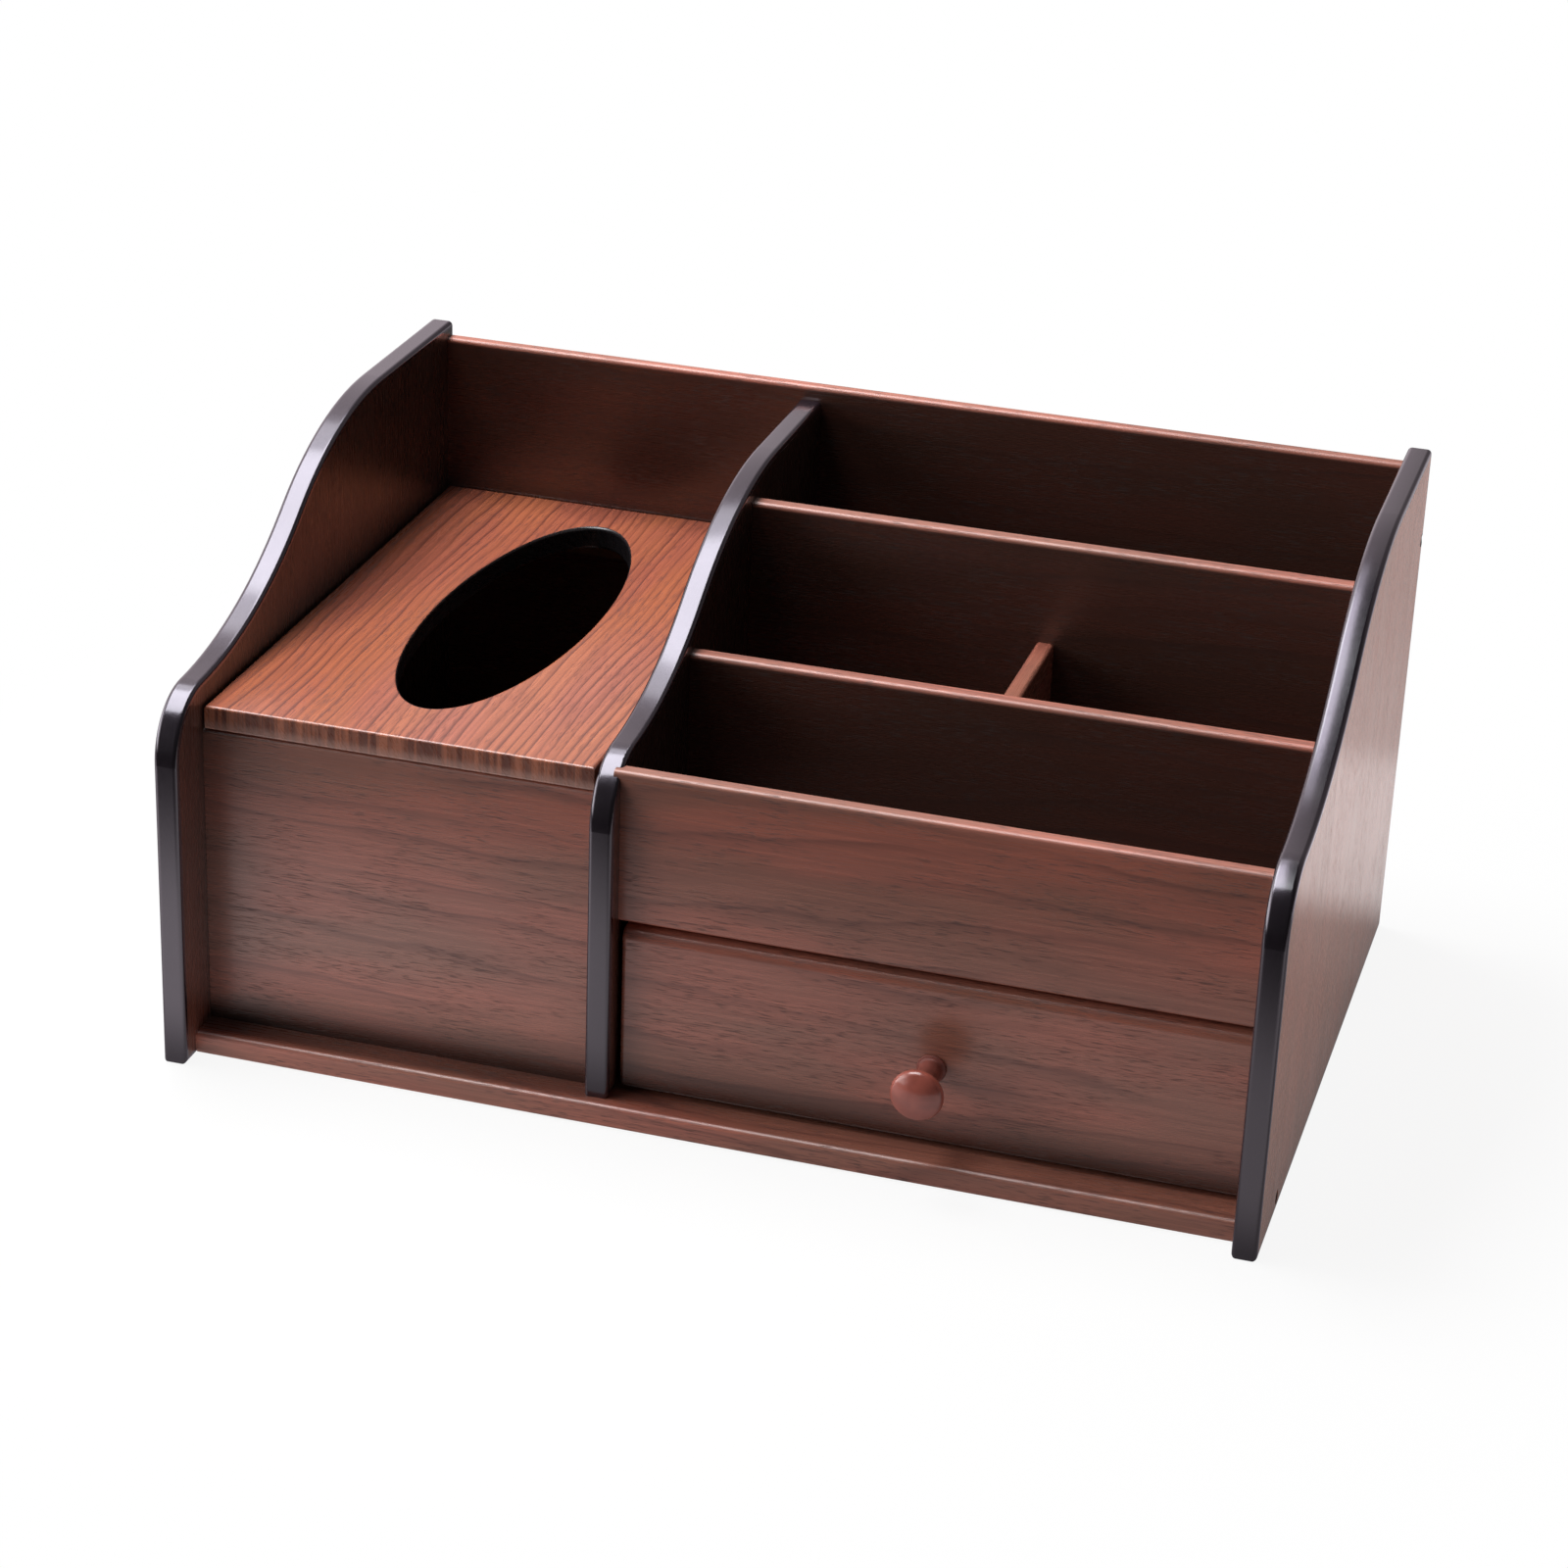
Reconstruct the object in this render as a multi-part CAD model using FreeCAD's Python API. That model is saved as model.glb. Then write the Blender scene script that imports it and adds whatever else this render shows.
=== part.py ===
"""Desk organiser with a tissue bay, open compartments and a drawer. Sizes are in millimetres.

The case is two S-curved side panels joined by a base board, a back panel and the boards that
stand in grooves between them. A middle divider with a smaller S-curve parts the tissue bay on
the left from the compartments and the drawer on the right. The lid with the oval hole lifts off
the tissue bay, and the drawer slides forward on the base board.

+X is right, +Y is back and +Z is up. The origin is the middle of the footprint, on the table.
"""
import FreeCAD
import Part
import math
import os

V = FreeCAD.Vector

# ---- overall size ----
width = 360.0                 # over the outer faces of the side panels
depth = 240.0                 # front edge to back edge of the side panels
height = 180.0                # flat top of the side panels

# ---- boards ----
side_t = 8.0                  # side panels and middle divider
base_t = 8.0                  # base board
inner_t = 6.0                 # fascia, partitions, shelf and tissue bay front
drawer_board_t = 6.0          # sides and back of the drawer
back_t = 5.0                  # back panel
lid_t = 8.0                   # lid of the tissue bay
groove_depth = 2.5            # grooves in the side panels and the divider
small_groove_depth = 1.5      # grooves in the two partitions for the short divider
glue_fit = 0.1                # between a glued board and its groove
edge_round = 1.5              # rounded edge all round the S-curved panels
arris_round = 1.5             # rounded edges along the boards
nose_round = 2.0              # front edge of the base board and the drawer front

# ---- S-curve of the side panels ----
shoulder_r = 22.0             # shoulder over the upright front edge
lead_slope = 3.0              # slope where the shoulder runs into the hollow, degrees
side_hollow_r = 148.0
side_slope = 35.7             # steepest slope, degrees
side_run = 4.0                # straight run between hollow and crown
side_crown_r = 120.0
top_corner_r = 2.0            # back corner of the flat top

# ---- S-curve of the middle divider ----
divider_setback = 12.6        # its front edge behind that of the side panels
divider_drop = 9.8            # its top below the side panels' top
divider_hollow_r = 134.0
divider_slope = 32.5
divider_run = 7.5
divider_crown_r = 142.0

# ---- layout ----
tissue_bay_w = 132.0          # clear width of the bay on the left
base_setback = 8.0            # base board's nose behind the side panels' front edge
front_setback = 20.0          # faces of fascia, drawer and tissue bay front, likewise
back_drop = 5.0               # back panel's top below the side panels' top
back_inset = 0.5              # back panel in from the side panels' back edges
tissue_front_top = 111.0      # height of the tissue bay's front panel
fascia_bottom = 68.0          # underside of fascia and shelf
fascia_top = 119.5
front_bay_d = 62.0            # clear depth behind the fascia
middle_bay_d = 59.0           # clear depth between the two partitions
front_partition_top = 132.0
rear_partition_top = 161.0
short_divider_drop = 6.0      # its top below the front partition's top

# ---- lid ----
lid_seat_gap = 0.2            # under the lid, on the front panel and the rear batten
lid_side_gap = 0.7            # to the side panel and the divider
lid_back_gap = 0.5
lid_edge_round = 1.0
hole_half_w = 27.5
hole_half_l = 84.5
hole_shift = 2.0              # middle of the hole behind the middle of the lid
batten_t = 8.0                # square battens under the lid
batten_gap = 0.8              # lid batten to the front panel's back face
batten_end_gap = 6.0          # lid batten's ends to the lid's sides

# ---- drawer ----
drawer_side_gap = 1.2         # each end of the drawer front
drawer_bottom_gap = 1.0       # under the drawer front
drawer_top = 66.0             # top edge of the drawer front
drawer_top_round = 4.0        # its front edge, rounded more than the others
drawer_end_round = 1.5        # round the ends of the drawer front
drawer_front_t = 8.0
drawer_side_inset = 2.6       # drawer sides in from the ends of the drawer front
drawer_slide_gap = 0.2        # under the drawer sides, on the base board
drawer_side_top = 54.0
drawer_back_gap = 5.0         # drawer to the back panel
drawer_floor_t = 3.0
drawer_floor_rise = 5.0       # floor above the bottom edge of the drawer sides
drawer_groove_depth = 3.0
drawer_fit = 0.1

# ---- knob ----
knob_shift = 1.3              # axis to the right of the middle of the drawer front
knob_drop = 2.0               # and below it
knob_head_d = 17.0
knob_neck_d = 7.0
knob_foot_d = 9.4
knob_foot_t = 0.8
knob_reach = 21.6             # top of the dome in front of the drawer
knob_dome_r = 16.0            # sphere of the domed face
knob_rim_r = 2.2              # rounded rim

# ---- fixings ----
screw_head_d = 4.6
screw_d = 2.4
screw_length = 20.0
screw_sink = 0.3              # head below the face, and below the rounded edge beside it
screw_fit = 0.05
screw_cross = 2.6             # span of the cross recess
screw_cross_w = 0.6
screw_cross_depth = 0.9
base_screw_z = 5.0            # clear of the side panels' rounded bottom edge
base_screw_inset = 24.0       # from the base board's front edge
back_screw_inset = 27.0       # from the back panel's top edge
back_base_screw_inset = 45.0  # from the back panel's ends, for the screws into the base board
divider_screw_inset = 30.0    # from the divider's front, back and bottom edges
knob_screw_d = 3.5
knob_screw_head_d = 7.0
knob_screw_head_t = 2.2
knob_screw_grip = 10.0        # length inside the knob
brad_d = 1.2
brad_length = 16.0
brad_inset = 10.0             # from the drawer back's top and bottom edges

# ---- places that follow from the sizes ----
right_x = width / 2
left_x = -right_x
bay_left = left_x + side_t
bay_right = right_x - side_t
divider_left = bay_left + tissue_bay_w
divider_right = divider_left + side_t
side_front = -depth / 2
side_back = depth / 2
back_face = side_back - back_inset
back_front = back_face - back_t
base_front = side_front + base_setback
face_y = side_front + front_setback
face_back = face_y + inner_t
divider_front = side_front + divider_setback
front_partition_y = face_back + front_bay_d
rear_partition_y = front_partition_y + inner_t + middle_bay_d
shelf_top = fascia_bottom + inner_t


def box(x0, x1, y0, y1, z0, z1):
    """Block between two corners."""
    return Part.makeBox(x1 - x0, y1 - y0, z1 - z0, V(x0, y0, z0))


def pick(shape, test):
    """Edges whose bounding box passes the test."""
    return [edge for edge in shape.Edges if test(edge.BoundBox)]


def round_edges(shape, radius, test):
    """Shape with the picked edges rounded."""
    return shape.makeFillet(radius, pick(shape, test))


def near(a, b):
    return abs(a - b) < 1e-4


def along_x_at(y_values, z_values):
    """Test for edges that run along X at one of the given places."""
    def test(bb):
        straight = bb.YLength < 1e-4 and bb.ZLength < 1e-4
        at_y = any(near(bb.YMin, y) for y in y_values)
        at_z = any(near(bb.ZMin, z) for z in z_values)
        return straight and at_y and at_z
    return test


def upright_at(x_values, y_value):
    """Test for upright edges at one of the given places."""
    def test(bb):
        straight = bb.XLength < 1e-4 and bb.YLength < 1e-4
        return straight and near(bb.YMin, y_value) and any(near(bb.XMin, x) for x in x_values)
    return test


def spanning_board(x0, x1, y0, z0, z1, thickness, bottom_too=False):
    """Upright board along X with its top edges rounded, and its bottom edges as well if asked."""
    board = box(x0, x1, y0, y0 + thickness, z0, z1)
    heights = [z0, z1] if bottom_too else [z1]
    return round_edges(board, arris_round, along_x_at([y0, y0 + thickness], heights))


def groove_for_board(x0, x1, y0, z0, z1, thickness, bottom_too=False):
    """Cutter for a groove that takes the end of a spanning board, larger all round by the glue fit."""
    return spanning_board(x0, x1, y0 - glue_fit, z0 - glue_fit, z1 + glue_fit,
                          thickness + 2 * glue_fit, bottom_too)


def s_panel(x0, front, back, bottom, top, hollow_r, slope, run, crown_r):
    """Panel in the YZ plane: upright front, round shoulder, hollow, straight run, crown and flat top."""
    lead = math.radians(lead_slope)
    steep = math.radians(slope)
    crown_z = top - crown_r * (1 - math.cos(steep))
    run_z = crown_z - run * math.sin(steep)
    hollow_z = run_z - hollow_r * (math.cos(lead) - math.cos(steep))
    hollow_y = front + shoulder_r * (1 - math.sin(lead))
    shoulder = (front + shoulder_r, hollow_z - shoulder_r * math.cos(lead))
    hollow = (hollow_y - hollow_r * math.sin(lead), hollow_z + hollow_r * math.cos(lead))
    run_y = hollow[0] + hollow_r * math.sin(steep)
    crown_y = run_y + run * math.cos(steep)
    crown = (crown_y + crown_r * math.sin(steep), top - crown_r)
    corner = (back - top_corner_r, top - top_corner_r)

    def point(centre, radius, angle):
        return V(x0, centre[0] + radius * math.cos(angle), centre[1] + radius * math.sin(angle))

    def arc(centre, radius, start, end):
        middle = (start + end) / 2
        return Part.Arc(*[point(centre, radius, a) for a in (start, middle, end)]).toShape()

    def line(a, b):
        return Part.LineSegment(a, b).toShape()

    quarter = math.pi / 2
    arcs = [
        arc(shoulder, shoulder_r, 2 * quarter, quarter + lead),
        arc(hollow, hollow_r, lead - quarter, steep - quarter),
        arc(crown, crown_r, quarter + steep, quarter),
        arc(corner, top_corner_r, quarter, 0.0),
    ]
    ends = [(a.Vertexes[0].Point, a.Vertexes[-1].Point) for a in arcs]
    front_foot = V(x0, front, bottom)
    back_foot = V(x0, back, bottom)
    edges = [
        line(front_foot, ends[0][0]), arcs[0], arcs[1],
        line(ends[1][1], ends[2][0]), arcs[2],
        line(ends[2][1], ends[3][0]), arcs[3],
        line(ends[3][1], back_foot), line(back_foot, front_foot),
    ]
    outline = Part.Wire(Part.__sortEdges__(edges))
    panel = Part.Face(outline).extrude(V(side_t, 0, 0))
    return round_edges(panel, edge_round, lambda bb: bb.XLength < 1e-4)


def turned(profile, origin, axis):
    """Solid turned from (radius, distance) points about an axis that starts at the origin point."""
    points = [V(radius, 0, distance) for radius, distance in profile]
    face = Part.Face(Part.makePolygon(points + [points[0]]))
    return aim(face.revolve(V(0, 0, 0), V(0, 0, 1), 360), origin, axis)


def aim(solid, origin, axis):
    """Turn a solid that was made along +Z so that it points along the axis from the origin point."""
    solid.Placement = FreeCAD.Placement(origin, FreeCAD.Rotation(V(0, 0, 1), axis))
    return solid


def screw_profile(gap):
    """Half section of a countersunk wood screw, from its head (at 0) to its tip."""
    head_r = screw_head_d / 2 + gap
    shank_r = screw_d / 2 + gap
    neck = screw_sink + head_r - shank_r
    tip = screw_length + gap
    return [(0, screw_sink), (head_r, screw_sink), (shank_r, neck), (shank_r, tip - screw_d), (0, tip)]


def wood_screw(origin, axis):
    """Countersunk screw whose head lies just under the face at the origin point."""
    body = turned(screw_profile(0.0), V(0, 0, 0), V(0, 0, 1))
    half = screw_cross / 2
    slot = screw_cross_w / 2
    floor = screw_sink + screw_cross_depth
    for a, b in ((half, slot), (slot, half)):
        body = body.cut(box(-a, a, -b, b, 0, floor))
    return aim(body, origin, axis)


def screw_hole(origin, axis):
    """Hole with its countersink, open at the face."""
    head_r = screw_head_d / 2 + screw_fit
    profile = screw_profile(screw_fit)
    return turned([(0, -1.0), (head_r, -1.0)] + profile[1:], origin, axis)


def cut_all(solid, cutters):
    for cutter in cutters:
        solid = solid.cut(cutter)
    return solid


def pin(origin, axis, diameter, length):
    """Plain round pin."""
    return Part.makeCylinder(diameter / 2, length, origin, axis)


# ---- where the screws go: a face point and a direction each ----
back_mid_y = back_front + back_t / 2
back_top = height - back_drop
divider_mid_x = divider_left + side_t / 2
divider_top = height - divider_drop
side_faces = {"left": (left_x, V(1, 0, 0)), "right": (right_x, V(-1, 0, 0))}


def base_side_screw(make, side):
    """Screw, or its hole, through a side panel into the front of the base board's end."""
    x, axis = side_faces[side]
    return make(V(x, base_front + base_screw_inset, base_screw_z), axis)


def back_side_screw(make, side):
    """Through a side panel into the top of the back panel's end."""
    x, axis = side_faces[side]
    return make(V(x, back_mid_y, back_top - back_screw_inset), axis)


def back_base_screws(make):
    """From behind the back panel into the base board's back edge."""
    xs = [bay_left + back_base_screw_inset, (bay_left + bay_right) / 2, bay_right - back_base_screw_inset]
    return [make(V(x, back_face, base_screw_z), V(0, -1, 0)) for x in xs]


def divider_base_screws(make):
    """From under the base board up into the divider."""
    ys = [divider_front + divider_screw_inset, back_front - divider_screw_inset]
    return [make(V(divider_mid_x, y, 0), V(0, 0, 1)) for y in ys]


def divider_back_screws(make):
    """From behind the back panel into the divider's back edge."""
    zs = [base_t + divider_screw_inset, back_top - back_screw_inset]
    return [make(V(divider_mid_x, back_face, z), V(0, -1, 0)) for z in zs]


# ---- boards that stand in grooves: the same numbers shape the board and its grooves ----
tissue_front_at = dict(y0=face_y, z0=base_t, z1=tissue_front_top, thickness=inner_t)
fascia_at = dict(y0=face_y, z0=fascia_bottom, z1=fascia_top, thickness=inner_t, bottom_too=True)
front_partition_at = dict(y0=front_partition_y, z0=shelf_top, z1=front_partition_top, thickness=inner_t)
rear_partition_at = dict(y0=rear_partition_y, z0=shelf_top, z1=rear_partition_top, thickness=inner_t)
right_boards = (fascia_at, front_partition_at, rear_partition_at)
short_divider_top = front_partition_top - short_divider_drop
short_divider_mid = (divider_right + bay_right) / 2


def shelf_groove(x0, x1):
    return box(x0, x1, face_back - glue_fit, back_front + glue_fit,
               fascia_bottom - glue_fit, shelf_top + glue_fit)


def short_divider_blank(y0, y1, gap):
    """Board along Y with a rounded top edge, as the short divider or as the cutter for its grooves."""
    x0 = short_divider_mid - inner_t / 2 - gap
    x1 = short_divider_mid + inner_t / 2 + gap
    z1 = short_divider_top + gap
    board = box(x0, x1, y0, y1, shelf_top, z1)
    return round_edges(board, arris_round, lambda bb: near(bb.ZMin, z1) and bb.XLength < 1e-4)


# ---- case ----
def make_side_panel(side):
    x0 = left_x if side == "left" else bay_right
    panel = s_panel(x0, side_front, side_back, 0.0, height,
                    side_hollow_r, side_slope, side_run, side_crown_r)
    if side == "left":
        cutters = [groove_for_board(bay_left - groove_depth, bay_left + 1, **tissue_front_at)]
    else:
        ends = (bay_right - 1, bay_right + groove_depth)
        cutters = [groove_for_board(*ends, **place) for place in right_boards]
        cutters.append(shelf_groove(*ends))
    cutters += [base_side_screw(screw_hole, side), back_side_screw(screw_hole, side)]
    return cut_all(panel, cutters)


def make_middle_divider():
    panel = s_panel(divider_left, divider_front, back_front, base_t, divider_top,
                    divider_hollow_r, divider_slope, divider_run, divider_crown_r)
    left_ends = (divider_left - 1, divider_left + groove_depth)
    right_ends = (divider_right - groove_depth, divider_right + 1)
    cutters = [groove_for_board(*left_ends, **tissue_front_at)]
    cutters += [groove_for_board(*right_ends, **place) for place in right_boards]
    cutters.append(shelf_groove(*right_ends))
    cutters += divider_base_screws(screw_hole) + divider_back_screws(screw_hole)
    return cut_all(panel, cutters)


def make_base_board():
    board = box(bay_left, bay_right, base_front, back_front, 0.0, base_t)
    board = round_edges(board, nose_round, along_x_at([base_front], [0.0, base_t]))
    holes = [base_side_screw(screw_hole, side) for side in side_faces]
    return cut_all(board, holes + back_base_screws(screw_hole) + divider_base_screws(screw_hole))


def make_back_panel():
    board = spanning_board(bay_left, bay_right, back_front, 0.0, back_top, back_t)
    holes = [back_side_screw(screw_hole, side) for side in side_faces]
    return cut_all(board, holes + back_base_screws(screw_hole) + divider_back_screws(screw_hole))


def make_tissue_front_panel():
    grip = groove_depth - glue_fit
    return spanning_board(bay_left - grip, divider_left + grip, **tissue_front_at)


def make_right_board(place):
    grip = groove_depth - glue_fit
    return spanning_board(divider_right - grip, bay_right + grip, **place)


def make_front_partition():
    slot = short_divider_blank(front_partition_y + inner_t - small_groove_depth,
                               rear_partition_y, glue_fit)
    return make_right_board(front_partition_at).cut(slot)


def make_rear_partition():
    slot = short_divider_blank(front_partition_y + inner_t,
                               rear_partition_y + small_groove_depth, glue_fit)
    return make_right_board(rear_partition_at).cut(slot)


def make_compartment_shelf():
    grip = groove_depth - glue_fit
    return box(divider_right - grip, bay_right + grip, face_back, back_front, fascia_bottom, shelf_top)


def make_short_divider():
    grip = small_groove_depth - glue_fit
    return short_divider_blank(front_partition_y + inner_t - grip, rear_partition_y + grip, 0.0)


def make_lid_rear_batten():
    return box(bay_left, divider_left, back_front - batten_t, back_front,
               tissue_front_top - batten_t, tissue_front_top)


# ---- lid ----
lid_bottom = tissue_front_top + lid_seat_gap
lid_left = bay_left + lid_side_gap
lid_right = divider_left - lid_side_gap
lid_back = back_front - lid_back_gap


def make_tissue_lid():
    top = lid_bottom + lid_t
    board = box(lid_left, lid_right, face_y, lid_back, lid_bottom, top)
    board = round_edges(board, lid_edge_round, lambda bb: bb.ZLength < 1e-4)
    middle = V((lid_left + lid_right) / 2, (face_y + lid_back) / 2 + hole_shift, lid_bottom)
    oval = Part.Ellipse(V(0, hole_half_l, 0), V(hole_half_w, 0, 0), V(0, 0, 0)).toShape()
    oval.translate(middle)
    board = board.cut(Part.Face(Part.Wire(oval)).extrude(V(0, 0, lid_t)))

    def on_oval(bb):
        return bb.ZLength < 1e-3 and near(bb.YLength, 2 * hole_half_l)

    return round_edges(board, lid_edge_round, on_oval)


def make_lid_locating_batten():
    y0 = face_back + batten_gap
    return box(lid_left + batten_end_gap, lid_right - batten_end_gap, y0, y0 + batten_t,
               lid_bottom - batten_t, lid_bottom)


# ---- drawer ----
drawer_left = divider_right + drawer_side_gap
drawer_right = bay_right - drawer_side_gap
drawer_front_bottom = base_t + drawer_bottom_gap
drawer_front_back = face_y + drawer_front_t
drawer_side_bottom = base_t + drawer_slide_gap
drawer_end = back_front - drawer_back_gap
floor_z = drawer_side_bottom + drawer_floor_rise
knob_x = (drawer_left + drawer_right) / 2 + knob_shift
knob_z = (drawer_front_bottom + drawer_top) / 2 - knob_drop
forward = V(0, -1, 0)
knob_face = V(knob_x, face_y, knob_z)
side_outer = {"left": drawer_left + drawer_side_inset, "right": drawer_right - drawer_side_inset}
side_inner = {"left": side_outer["left"] + drawer_board_t, "right": side_outer["right"] - drawer_board_t}


def drawer_side_blank(side, front, gap):
    """Drawer side from its front end to the drawer's back, or the cutter for its groove."""
    x0, x1 = sorted((side_outer[side], side_inner[side]))
    return box(x0 - gap, x1 + gap, front, drawer_end, drawer_side_bottom - gap, drawer_side_top + gap)


def drawer_floor_blank(gap):
    """Thin floor that fills its grooves on all four sides, or the cutter for those grooves."""
    reach = drawer_groove_depth if gap else drawer_groove_depth - drawer_fit
    return box(side_inner["left"] - reach, side_inner["right"] + reach,
               drawer_front_back - reach, drawer_end - drawer_board_t + reach,
               floor_z - gap, floor_z + drawer_floor_t + gap)


def drawer_brads(side):
    """Brads through one drawer side into the end of the drawer's back."""
    sign = 1 if side == "left" else -1
    y = drawer_end - drawer_board_t / 2
    heights = [floor_z + drawer_floor_t + brad_inset, drawer_side_top - brad_inset]
    return [(V(side_outer[side], y, z), V(sign, 0, 0)) for z in heights]


def make_drawer_front():
    board = box(drawer_left, drawer_right, face_y, drawer_front_back, drawer_front_bottom, drawer_top)
    board = round_edges(board, drawer_top_round, along_x_at([face_y], [drawer_top]))
    board = round_edges(board, nose_round, along_x_at([drawer_front_back], [drawer_top]))
    board = round_edges(board, nose_round, along_x_at([face_y, drawer_front_back], [drawer_front_bottom]))
    board = round_edges(board, drawer_end_round, upright_at([drawer_left, drawer_right], face_y))
    for side in ("left", "right"):
        board = board.cut(drawer_side_blank(side, drawer_front_back - drawer_groove_depth, drawer_fit))
    board = board.cut(drawer_floor_blank(drawer_fit))
    return board.cut(pin(knob_face, -forward, knob_screw_d + 2 * screw_fit, drawer_front_t))


def make_drawer_side(side):
    board = drawer_side_blank(side, drawer_front_back - drawer_groove_depth + drawer_fit, 0.0)
    board = board.cut(drawer_floor_blank(drawer_fit))
    for origin, axis in drawer_brads(side):
        board = board.cut(pin(origin, axis, brad_d + 2 * screw_fit, brad_length))
    return board


def make_drawer_back():
    board = box(side_inner["left"], side_inner["right"], drawer_end - drawer_board_t, drawer_end,
                drawer_side_bottom, drawer_side_top)
    board = board.cut(drawer_floor_blank(drawer_fit))
    for side in ("left", "right"):
        for origin, axis in drawer_brads(side):
            board = board.cut(pin(origin, axis, brad_d + 2 * screw_fit, brad_length + screw_fit))
    return board


def knob_outline():
    """Half section of the knob: foot, neck, hollow under the head, rounded rim and spherical face."""
    foot_r = knob_foot_d / 2
    neck_r = knob_neck_d / 2
    foot_hollow = foot_r - neck_r
    rim_x = knob_head_d / 2 - knob_rim_r
    head_hollow = rim_x - neck_r
    dome_z = knob_reach - knob_dome_r
    rim_reach = knob_dome_r - knob_rim_r
    rim_z = dome_z + math.sqrt(rim_reach ** 2 - rim_x ** 2)
    rim_end = math.asin(rim_x / rim_reach)

    def arc(x, z, radius, start, end):
        """Arc about (x, z), with its angles measured from the knob's axis."""
        angles = (start, (start + end) / 2, end)
        points = [V(x + radius * math.sin(a), 0, z + radius * math.cos(a)) for a in angles]
        return Part.Arc(*points).toShape()

    curves = [
        arc(foot_r, knob_foot_t + foot_hollow, foot_hollow, math.pi, 1.5 * math.pi),
        arc(rim_x, rim_z - knob_rim_r - head_hollow, head_hollow, -math.pi / 2, 0.0),
        arc(rim_x, rim_z, knob_rim_r, math.pi, rim_end),
        arc(0.0, dome_z, knob_dome_r, rim_end, 0.0),
    ]
    ends = [(curve.Vertexes[0].Point, curve.Vertexes[-1].Point) for curve in curves]
    foot_edge = V(foot_r, 0, 0)
    middle = V(0, 0, 0)
    lines = [(middle, foot_edge), (foot_edge, ends[0][0]), (ends[0][1], ends[1][0]), (ends[3][1], middle)]
    return Part.Wire(Part.__sortEdges__(curves + [Part.makeLine(a, b) for a, b in lines]))


def make_drawer_knob():
    solid = Part.Face(knob_outline()).revolve(V(0, 0, 0), V(0, 0, 1), 360)
    bore = pin(V(0, 0, 0), V(0, 0, 1), knob_screw_d + 2 * screw_fit, knob_screw_grip + screw_fit)
    return aim(solid.cut(bore), knob_face, forward)


def make_knob_screw():
    start = knob_face - forward * (drawer_front_t + knob_screw_head_t)
    shank = pin(start, forward, knob_screw_d, knob_screw_head_t + drawer_front_t + knob_screw_grip)
    head = pin(start, forward, knob_screw_head_d, knob_screw_head_t)
    back_edge = pick(head, lambda bb: near(bb.YMin, start.y) and near(bb.YMax, start.y))
    head = head.makeFillet(knob_screw_head_t / 2, back_edge)
    slot = box(start.x - knob_screw_head_d, start.x + knob_screw_head_d,
               start.y - knob_screw_head_t / 2, start.y + 1,
               start.z - screw_cross_w / 2, start.z + screw_cross_w / 2)
    return shank.fuse(head).removeSplitter().cut(slot)


def group(solids):
    return Part.makeCompound(solids)


all_brads = [place for side in side_faces for place in drawer_brads(side)]

pieces = {
    "base_board": make_base_board(),
    "left_side_panel": make_side_panel("left"),
    "right_side_panel": make_side_panel("right"),
    "middle_divider": make_middle_divider(),
    "back_panel": make_back_panel(),
    "tissue_front_panel": make_tissue_front_panel(),
    "lid_rear_batten": make_lid_rear_batten(),
    "fascia_panel": make_right_board(fascia_at),
    "front_partition": make_front_partition(),
    "rear_partition": make_rear_partition(),
    "compartment_shelf": make_compartment_shelf(),
    "short_divider": make_short_divider(),
    "base_to_side_screws": group([base_side_screw(wood_screw, side) for side in side_faces]),
    "back_to_side_screws": group([back_side_screw(wood_screw, side) for side in side_faces]),
    "back_to_base_screws": group(back_base_screws(wood_screw)),
    "divider_base_screws": group(divider_base_screws(wood_screw)),
    "divider_back_screws": group(divider_back_screws(wood_screw)),
    "tissue_lid": make_tissue_lid(),
    "lid_locating_batten": make_lid_locating_batten(),
    "drawer_front": make_drawer_front(),
    "drawer_left_side": make_drawer_side("left"),
    "drawer_right_side": make_drawer_side("right"),
    "drawer_back": make_drawer_back(),
    "drawer_floor": drawer_floor_blank(0.0),
    "drawer_brads": group([pin(origin, axis, brad_d, brad_length) for origin, axis in all_brads]),
    "drawer_knob": make_drawer_knob(),
    "knob_screw": make_knob_screw(),
}

os.makedirs("parts", exist_ok=True)
for name, shape in pieces.items():
    shape.exportStep(f"parts/{name}.step")
    box_size = shape.BoundBox
    print(f"{name:22s} solids {len(shape.Solids)}  volume {shape.Volume:10.1f}  valid {shape.isValid()}  "
          f"x {box_size.XMin:.1f}..{box_size.XMax:.1f}  y {box_size.YMin:.1f}..{box_size.YMax:.1f}  "
          f"z {box_size.ZMin:.1f}..{box_size.ZMax:.1f}")
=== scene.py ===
# %% [markdown]
# # Dressing a desk tissue box with a drawer
# The box is made of boards wrapped in printed wood film: a dark walnut film on the case and the
# drawer, a lighter reddish one on the lid. The S-curved panels have their edges painted black.
# The construction model already has every board in its place, so it comes in first as a fixed
# frame, and each piece of it then gets its finish.

# %% Load the frame
import math

import bpy
import numpy as np
from mathutils import Matrix, Vector


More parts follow.
